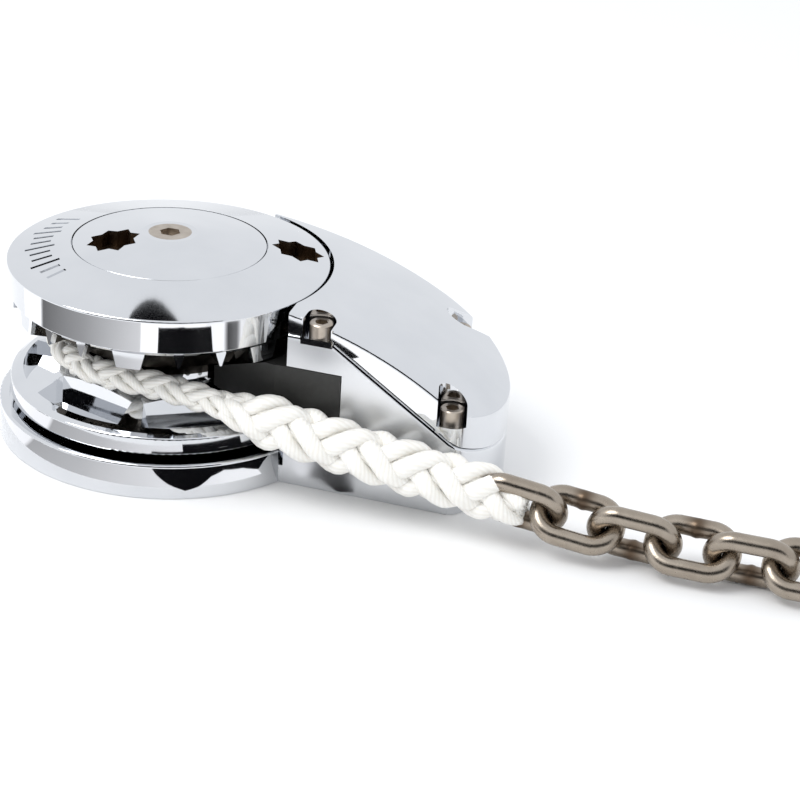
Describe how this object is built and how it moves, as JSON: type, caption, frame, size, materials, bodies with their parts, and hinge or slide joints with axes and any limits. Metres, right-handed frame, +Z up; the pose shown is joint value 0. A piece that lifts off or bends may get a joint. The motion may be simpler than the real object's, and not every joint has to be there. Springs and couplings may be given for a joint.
{
  "type": "vertical anchor windlass deck unit",
  "caption": "Low-profile vertical anchor windlass for rope and chain: a chainwheel with a friction clutch beside a domed chain-pipe housing, its rode laid round the wheel.",
  "frame": {"origin": "on the main shaft's axis in the plane where the base meets the deck", "axes": "+Z up, +X towards the bow where the rode comes from, the rode runs in along -Y"},
  "size_m": [0.3877, 0.147, 0.091],
  "materials": {
    "chrome_casting": "mirror-polished chrome plate on bronze castings",
    "rubber": "black moulded rubber",
    "rope": "glossy off-white eight-strand plaited nylon",
    "stripper": "dark grey filled acetal",
    "finger": "stainless casting, satin",
    "bronze": "turned bronze, greased",
    "spring_steel": "spring steel",
    "stainless": "turned stainless steel",
    "bearing_steel": "ground bearing steel",
    "screw_steel": "stainless socket screws, slightly tarnished",
    "chain_steel": "polished stainless chain with warm grey-brown weld tint"
  },
  "bodies": {
    "deck_unit": {"base_housing": "chrome_casting", "base_gasket": "rubber", "chain_pipe_cover": "chrome_casting", "cover_seal": "rubber", "cover_screws": "screw_steel", "stripper": "stripper", "stripper_screws": "screw_steel", "finger_pin": "stainless", "finger_spring": "spring_steel", "bearing_outer_races": "bearing_steel", "bearing_balls": "bearing_steel", "outer_spacer": "stainless", "hub_circlip": "spring_steel", "shaft_seal": "rubber", "rope": "rope", "rope_splice": "rope", "chain_link_1": "chain_steel", "chain_link_2": "chain_steel", "chain_link_3": "chain_steel", "chain_link_4": "chain_steel", "chain_link_5": "chain_steel", "chain_link_6": "chain_steel"},
    "shaft": {"main_shaft": "stainless", "drive_key": "stainless", "bearing_inner_races": "bearing_steel", "inner_spacer": "stainless", "shaft_circlip": "spring_steel", "lower_clutch_cone": "bronze"},
    "clutch_cone": {"upper_clutch_cone": "bronze", "disc_springs": "spring_steel"},
    "clutch_nut": {"clutch_nut": "chrome_casting", "nut_plug_screw": "screw_steel"},
    "chainwheel": {"chainwheel_lower": "chrome_casting", "chainwheel_upper": "chrome_casting", "chainwheel_screws": "screw_steel"},
    "pressure_finger": {"pressure_finger": "finger"}
  },
  "joints": [
    {"name": "shaft_spin", "type": "hinge", "parent": "deck_unit", "child": "shaft", "pos_m": [0, 0, 0.02], "axis": [0, 0, 1], "continuous": true},
    {"name": "chainwheel_slip", "type": "hinge", "parent": "shaft", "child": "chainwheel", "pos_m": [0, 0, 0.05], "axis": [0, 0, 1], "continuous": true},
    {"name": "clutch_cone_lift", "type": "slide", "parent": "shaft", "child": "clutch_cone", "axis": [0, 0, 1], "range_m": [0, 0.001]},
    {"name": "clutch_nut_turn", "type": "hinge", "parent": "clutch_cone", "child": "clutch_nut", "pos_m": [0, 0, 0.08], "axis": [0, 0, 1], "range_deg": [0, 180]},
    {"name": "pressure_finger_swing", "type": "hinge", "parent": "deck_unit", "child": "pressure_finger", "pos_m": [0.08, 0.048, 0.058], "axis": [0, 0, -1], "range_deg": [0, 8], "stiffness_Nm_per_rad": 0.6, "springref_deg": -11.46}
  ],
  "couplings": [
    {"joint": "clutch_nut_turn", "follows": "clutch_cone_lift", "rad_per_m": 3141.6}
  ]
}
